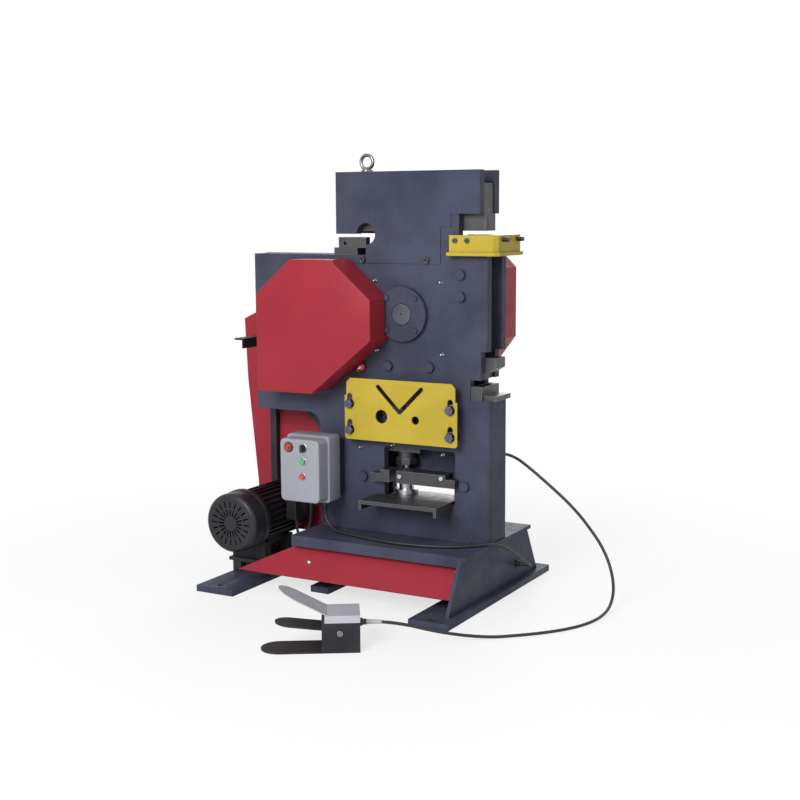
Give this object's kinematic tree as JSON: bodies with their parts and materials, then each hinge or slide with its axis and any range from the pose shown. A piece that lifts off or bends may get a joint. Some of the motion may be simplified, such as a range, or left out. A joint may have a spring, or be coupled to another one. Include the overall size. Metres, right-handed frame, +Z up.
{
  "type": "mechanical ironworker",
  "caption": "Twin-plate mechanical ironworker with bar shear, notcher, section shear, coping jaw and punch, geared flywheel drive and foot pedal.",
  "frame": {"origin": "centre of the four anchor holes, on the floor", "axes": "+X to the right along the frame plates, +Y to the rear, +Z up"},
  "size_m": [1.4547, 1.2401, 1.483],
  "materials": {
    "frame_paint": "blue-grey enamel, satin",
    "dark_paint": "dark grey enamel, worn",
    "red_paint": "red enamel, satin",
    "yellow_paint": "safety yellow enamel",
    "grey_box": "light grey enamel",
    "motor_black": "black enamel on cast iron",
    "cable_rubber": "matte black",
    "black_plastic": "matte black",
    "tool_steel": "ground and blackened",
    "bright_steel": "zinc plated",
    "bronze": "machined",
    "lamp_red": "translucent red",
    "stop_red": "red",
    "start_green": "green"
  },
  "bodies": {
    "frame": {"front_plate": "frame_paint", "rear_plate": "frame_paint", "column_end": "frame_paint", "frame_spacers": "frame_paint", "head_cheeks": "frame_paint", "head_spacer": "frame_paint", "lifting_eye": "bright_steel", "ram_guides": "tool_steel", "bearing_bushes": "bronze", "bearing_flange": "frame_paint", "frame_bolts": "frame_paint", "base_feet": "frame_paint", "base_frame": "frame_paint", "base_panels": "red_paint", "motor_base": "dark_paint", "motor_housing": "motor_black", "motor_fan_cover": "motor_black", "terminal_box": "motor_black", "frame_brackets": "dark_paint", "gear_cover_front": "red_paint", "belt_guard": "red_paint", "gear_cover_rear": "red_paint", "control_case": "grey_box", "control_lid": "grey_box", "indicator_lamp": "lamp_red", "guard_plate": "yellow_paint", "guard_bolts": "bright_steel", "section_blade": "tool_steel", "bar_blade_lower": "tool_steel", "notcher_die": "tool_steel", "notcher_tray": "yellow_paint", "cap_screws": "tool_steel", "coping_die": "tool_steel", "punch_table": "tool_steel", "punch_die": "bright_steel", "stripper": "tool_steel", "drive_belts": "cable_rubber", "cable_glands": "black_plastic", "pedal_base": "dark_paint", "pedal_cover": "bright_steel", "pedal_pin": "bright_steel", "pedal_cord": "cable_rubber", "supply_cord": "cable_rubber", "motor_lead": "cable_rubber"},
    "ram": {"ram": "tool_steel", "bar_blade_upper": "tool_steel", "notcher_punch": "tool_steel", "coping_blade": "tool_steel", "punch_holder": "tool_steel", "punch": "bright_steel"},
    "eccentric": {"eccentric_shaft": "bright_steel", "eccentric_bush": "bronze"},
    "bull_gear": {"bull_gear": "tool_steel"},
    "intermediate": {"intermediate_shaft": "tool_steel"},
    "flywheel": {"flywheel": "tool_steel"},
    "motor_rotor": {"motor_rotor": "motor_black"},
    "selector": {"selector_knob": "black_plastic"},
    "start": {"start_button": "start_green"},
    "stop": {"stop_button": "stop_red"},
    "treadle": {"pedal_treadle": "dark_paint"}
  },
  "joints": [
    {"name": "ram_slide", "type": "slide", "parent": "frame", "child": "ram", "axis": [0, 0, 1], "range_m": [-0.026, 0]},
    {"name": "eccentric_turn", "type": "hinge", "parent": "frame", "child": "eccentric", "pos_m": [0.147, 0, 0.95], "axis": [0, 1, 0], "range_deg": [0, 180]},
    {"name": "flywheel_spin", "type": "hinge", "parent": "frame", "child": "flywheel", "pos_m": [-0.27962, 0, 0.7685], "axis": [0, 1, 0], "continuous": true},
    {"name": "intermediate_spin", "type": "hinge", "parent": "frame", "child": "intermediate", "pos_m": [-0.1382, 0, 0.90992], "axis": [0, 1, 0], "continuous": true},
    {"name": "bull_gear_spin", "type": "hinge", "parent": "frame", "child": "bull_gear", "pos_m": [0.147, 0, 0.95], "axis": [0, 1, 0], "continuous": true},
    {"name": "motor_spin", "type": "hinge", "parent": "frame", "child": "motor_rotor", "pos_m": [-0.42, 0, 0.22], "axis": [0, 1, 0], "continuous": true},
    {"name": "selector_turn", "type": "hinge", "parent": "frame", "child": "selector", "pos_m": [-0.148, 0, 0.499], "axis": [0, 1, 0], "range_deg": [0, 60]},
    {"name": "start_press", "type": "slide", "parent": "frame", "child": "start", "axis": [0, 1, 0], "range_m": [0, 0.004], "stiffness_N_per_m": 600},
    {"name": "stop_press", "type": "slide", "parent": "frame", "child": "stop", "axis": [0, 1, 0], "range_m": [0, 0.004], "stiffness_N_per_m": 600},
    {"name": "treadle_press", "type": "hinge", "parent": "frame", "child": "treadle", "pos_m": [0.26165, -0.68303, 0.06], "axis": [-0.5299, 0.848, 0], "range_deg": [-12, 0], "stiffness_Nm_per_rad": 25, "springref_deg": 6.88}
  ],
  "couplings": [
    {"joint": "eccentric_turn", "follows": "ram_slide", "rad_per_m": -120.8},
    {"joint": "intermediate_spin", "follows": "flywheel_spin", "ratio": -0.21212},
    {"joint": "bull_gear_spin", "follows": "flywheel_spin", "ratio": 0.060606},
    {"joint": "motor_spin", "follows": "flywheel_spin", "ratio": 3.36}
  ]
}
